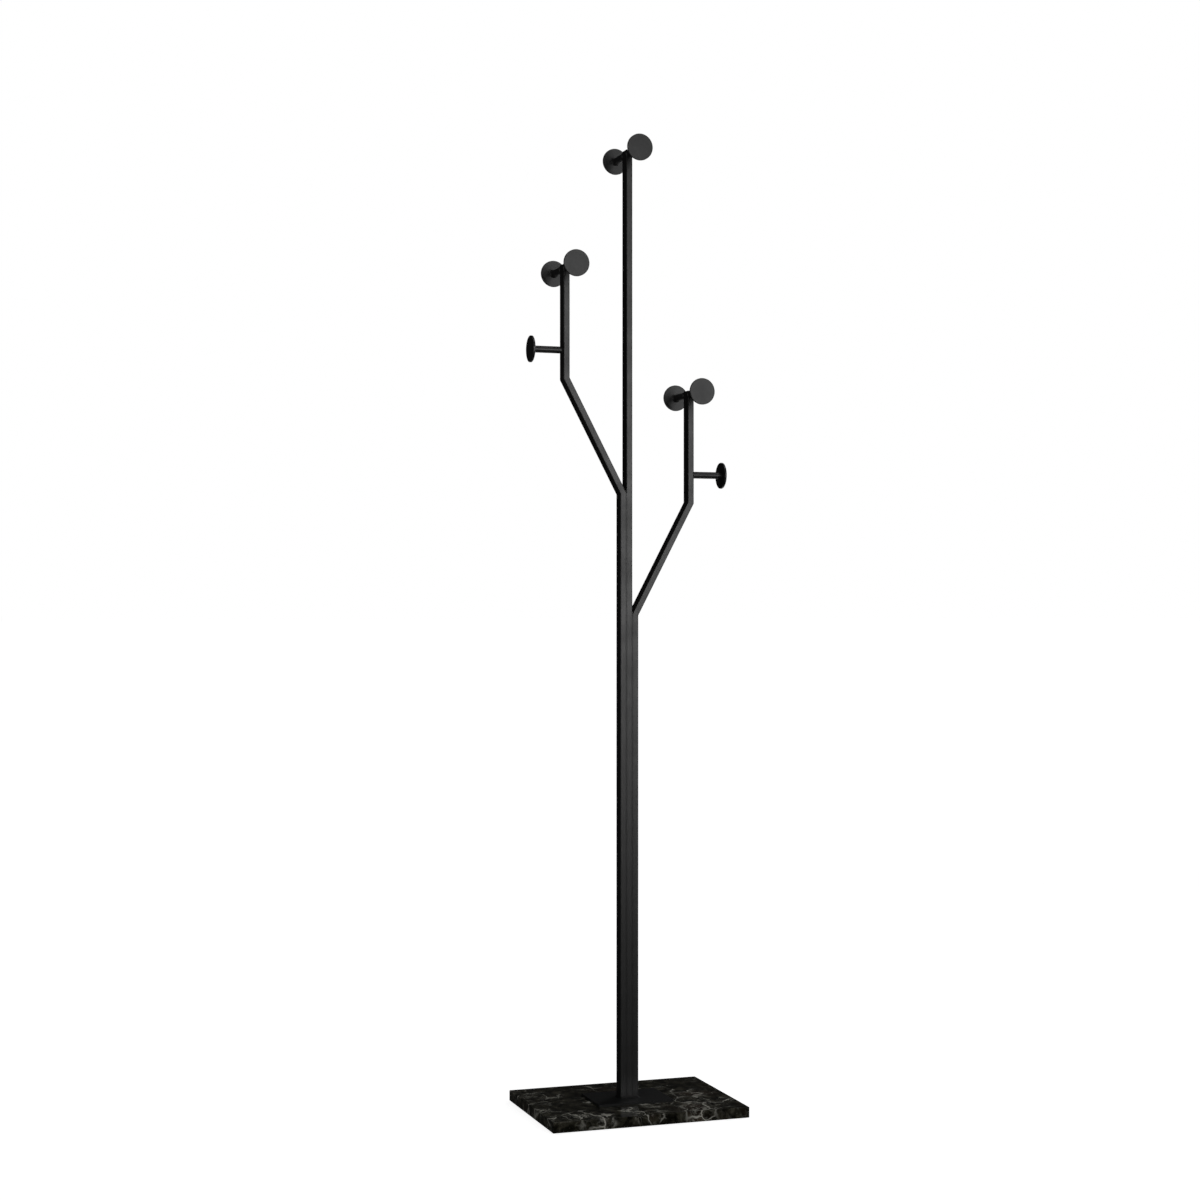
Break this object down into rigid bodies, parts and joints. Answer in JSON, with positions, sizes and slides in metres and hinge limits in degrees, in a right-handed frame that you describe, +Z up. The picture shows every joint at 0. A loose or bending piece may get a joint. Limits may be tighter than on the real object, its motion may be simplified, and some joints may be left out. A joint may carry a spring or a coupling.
{
  "type": "standing coat rack",
  "caption": "Standing coat rack: a flat steel tube column on a stone slab, branching into uprights whose round pegs end in discs.",
  "frame": {"origin": "on the floor, under the middle of the stone slab and the column's axis", "axes": "+Z up along the column, +X towards the lower of the two branches, -Y the front"},
  "size_m": [0.388, 0.28, 1.842],
  "materials": {
    "stone": "polished dark brown marble with broken pale veins",
    "powder_coat": "satin black powder coat on welded steel",
    "peg_coat": "satin black powder coat on turned steel",
    "zinc": "bright zinc plate",
    "rubber": "matte"
  },
  "bodies": {
    "root": {"marble_base": "stone", "base_pads": "rubber", "foot_studs": "zinc", "base_washers": "zinc", "base_nuts": "zinc", "foot_plate": "powder_coat", "centre_post": "powder_coat", "centre_end_cap": "powder_coat", "left_lower_post": "powder_coat", "left_arm": "powder_coat", "left_upper_post": "powder_coat", "left_end_cap": "powder_coat", "right_lower_post": "powder_coat", "right_arm": "powder_coat", "right_upper_post": "powder_coat", "right_end_cap": "powder_coat", "centre_front_rod": "peg_coat", "centre_front_disc": "peg_coat", "centre_back_rod": "peg_coat", "centre_back_disc": "peg_coat", "left_front_rod": "peg_coat", "left_front_disc": "peg_coat", "left_back_rod": "peg_coat", "left_back_disc": "peg_coat", "left_side_rod": "peg_coat", "left_side_disc": "peg_coat", "right_front_rod": "peg_coat", "right_front_disc": "peg_coat", "right_back_rod": "peg_coat", "right_back_disc": "peg_coat", "right_side_rod": "peg_coat", "right_side_disc": "peg_coat"}
  },
  "joints": []
}
